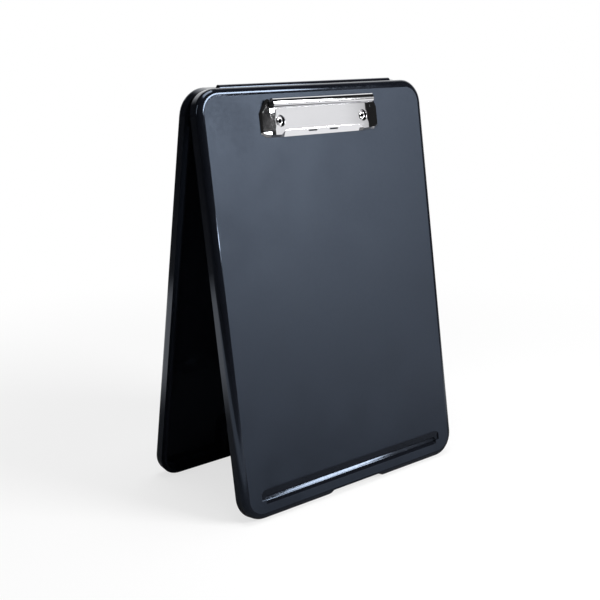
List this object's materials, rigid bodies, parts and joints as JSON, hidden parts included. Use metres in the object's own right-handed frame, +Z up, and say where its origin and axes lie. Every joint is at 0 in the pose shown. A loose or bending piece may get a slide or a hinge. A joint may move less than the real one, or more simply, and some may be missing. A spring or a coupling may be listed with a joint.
{
  "type": "storage clipboard box",
  "caption": "Slim hinged storage case with a spring paper clip, a pen groove and a snap latch, standing open as an A-frame.",
  "frame": {"origin": "on the standing surface, midway between the feet of the two halves, straight below the hinge", "axes": "+Z up, -Y towards the front cover that carries the clip, +X to the right seen from the front"},
  "size_m": [0.237, 0.1324, 0.333],
  "materials": {
    "cover_plastic": "fine matte moulded texture on the face, glossy rounded edge",
    "tray_plastic": "glossy moulded plastic inside, fine matte texture on the back",
    "latch_plastic": "satin moulded plastic",
    "clip_chrome": "bright nickel plate",
    "clip_base": "bright nickel plate",
    "rivet_steel": "bright nickel plate",
    "rod_steel": "drawn steel",
    "spring_steel": "drawn spring steel"
  },
  "bodies": {
    "tray": {"rear_tray": "tray_plastic", "hinge_rod": "rod_steel"},
    "cover": {"front_cover": "cover_plastic", "clip_base_plate": "clip_base", "clip_rod": "rod_steel", "clip_spring": "spring_steel", "clip_rivets": "rivet_steel", "rivet_washers": "rod_steel", "latch_pin": "rod_steel", "latch_spring": "spring_steel"},
    "jaw": {"clip_jaw": "clip_chrome"},
    "latch": {"latch_tab": "latch_plastic"}
  },
  "joints": [
    {"name": "cover_hinge", "type": "hinge", "parent": "tray", "child": "cover", "pos_m": [0, 0, 0.33024], "axis": [-1, 0, 0], "range_deg": [-19.3, 160.7]},
    {"name": "jaw_hinge", "type": "hinge", "parent": "cover", "child": "jaw", "pos_m": [0, -0.01811, 0.31861], "axis": [-1, 0, 0], "range_deg": [0, 35], "stiffness_Nm_per_rad": 0.12, "springref_deg": -68.75, "deforming": ["clip_spring"]},
    {"name": "latch_rock", "type": "hinge", "parent": "cover", "child": "latch", "pos_m": [0, -0.05829, 0.00532], "axis": [-1, 0, 0], "range_deg": [0, 12], "stiffness_Nm_per_rad": 0.005, "springref_deg": -34.38, "deforming": ["latch_spring"]}
  ]
}
